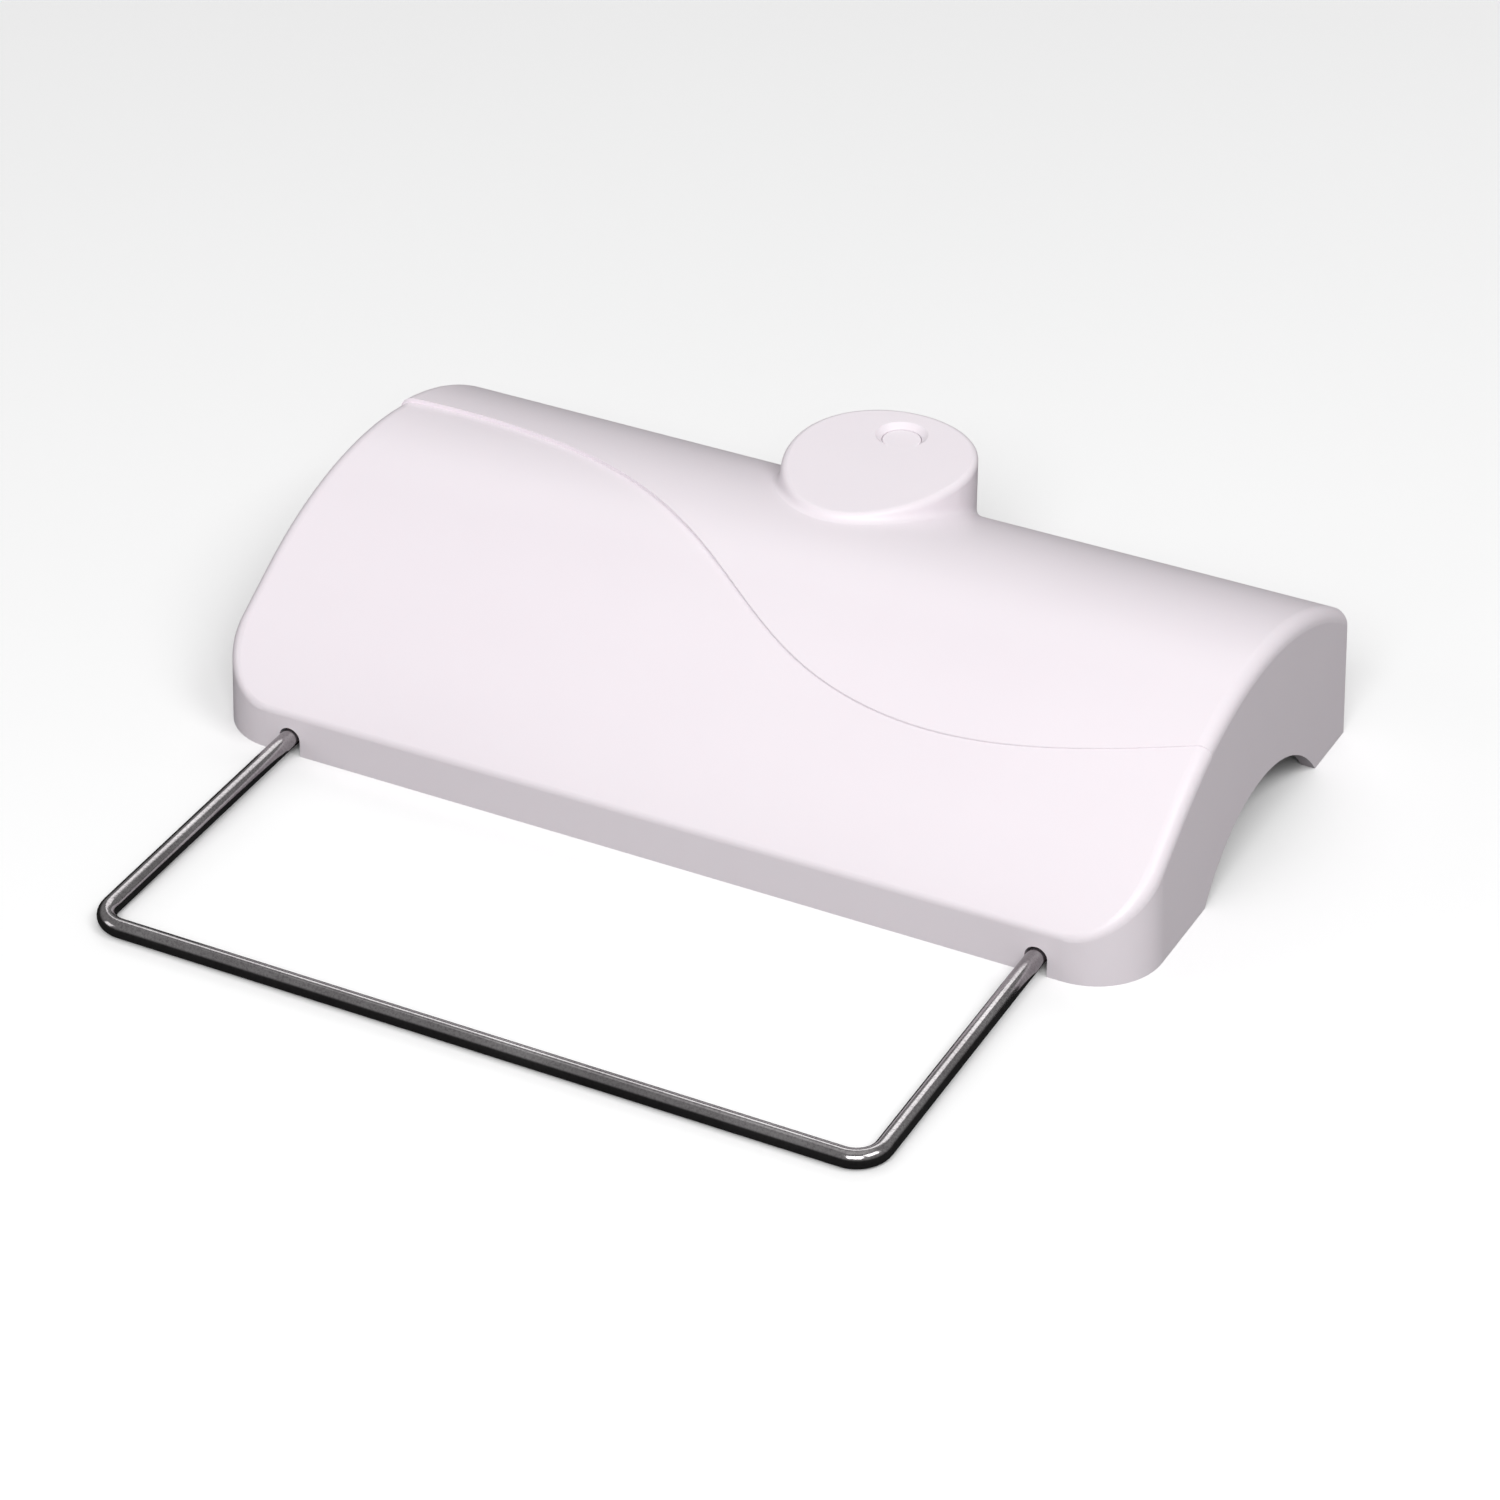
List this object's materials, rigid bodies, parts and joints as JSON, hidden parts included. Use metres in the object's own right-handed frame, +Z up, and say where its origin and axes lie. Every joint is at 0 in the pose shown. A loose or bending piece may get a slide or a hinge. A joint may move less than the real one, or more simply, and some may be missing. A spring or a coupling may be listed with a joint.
{
  "type": "paper roll holder",
  "caption": "Hooded paper holder for a round rail: moulded white cover with a swinging chrome wire bail, an inner saddle frame and a plugged fixing hole in a boss.",
  "frame": {"origin": "under the middle of the whole object, on the surface that the base rim rests on", "axes": "+X along the hood, +Y from the bail to the boss, +Z up from the base rim through the crown"},
  "size_m": [0.138, 0.128, 0.0286],
  "materials": {
    "hood_white": "satin moulded, slightly pink white",
    "plug_white": "satin moulded",
    "bail_chrome": "polished",
    "block_white": "natural acetal",
    "frame_black": "fine texture",
    "pad_rubber": "matt",
    "screw_steel": "zinc plated",
    "bush_steel": "turned"
  },
  "bodies": {
    "hood": {"cover_shell": "hood_white", "bearing_block_right": "block_white", "bearing_block_left": "block_white", "block_screws": "screw_steel", "saddle_frame": "frame_black", "frame_screws": "screw_steel", "saddle_pad_right": "pad_rubber", "saddle_pad_left": "pad_rubber", "fixing_bush": "bush_steel"},
    "bail": {"wire_bail": "bail_chrome"},
    "plug": {"screw_plug": "plug_white"}
  },
  "joints": [
    {"name": "bail_swing", "type": "hinge", "parent": "hood", "child": "bail", "pos_m": [0, -0.00747, 0.00275], "axis": [1, 0, 0], "range_deg": [0, 110]},
    {"name": "plug_pull", "type": "slide", "parent": "hood", "child": "plug", "axis": [0, 0, 1], "range_m": [0, 0.006]}
  ]
}
